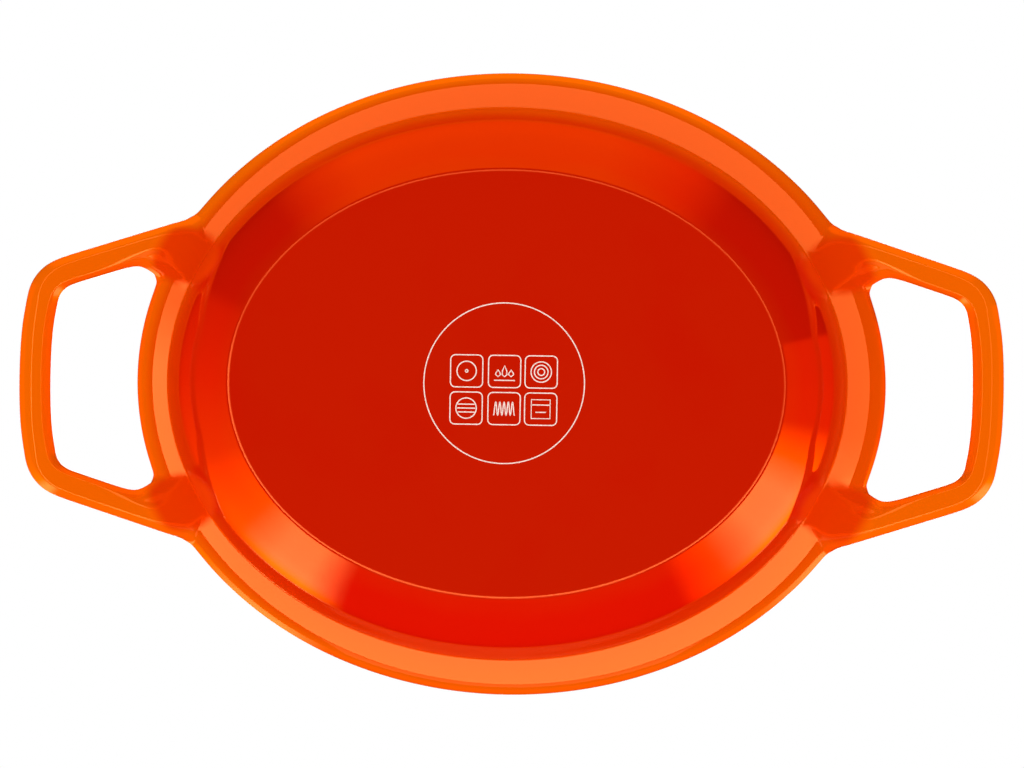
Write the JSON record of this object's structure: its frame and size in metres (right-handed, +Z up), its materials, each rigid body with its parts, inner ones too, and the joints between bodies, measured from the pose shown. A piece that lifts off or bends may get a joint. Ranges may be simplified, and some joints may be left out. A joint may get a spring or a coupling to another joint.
{
  "type": "low oval cast iron cocotte",
  "caption": "Low oval cocotte of enamelled cast iron with open loop handles cast on its lip and a domed lid that lifts off by a bolted steel knob.",
  "frame": {"origin": "middle of the flat base, on the surface that the pot stands on", "axes": "+X along the handles, +Y across the pot, +Z up"},
  "size_m": [0.3834, 0.242, 0.1204],
  "materials": {
    "pot_enamel": "gloss enamel on cast iron, deep red at the base going to amber orange at the lip and handles",
    "lid_enamel": "gloss enamel on cast iron, orange at the edge going to red at the hub",
    "silicone": "matt black silicone",
    "knob_steel": "finely brushed stainless steel",
    "fastener_steel": "bright stainless steel",
    "fastener_zinc": "zinc plated steel"
  },
  "bodies": {
    "pot": {"pot_body": "pot_enamel"},
    "lid": {"lid": "lid_enamel", "knob_gasket": "silicone", "knob_neck": "knob_steel", "knob_shell": "knob_steel", "knob_nut": "fastener_zinc", "knob_screw": "fastener_steel", "flat_washer": "fastener_steel", "spring_washer": "fastener_zinc"}
  },
  "joints": [
    {"name": "lid_lift", "type": "slide", "parent": "pot", "child": "lid", "axis": [0, 0, 1], "range_m": [0, 0.15]}
  ]
}
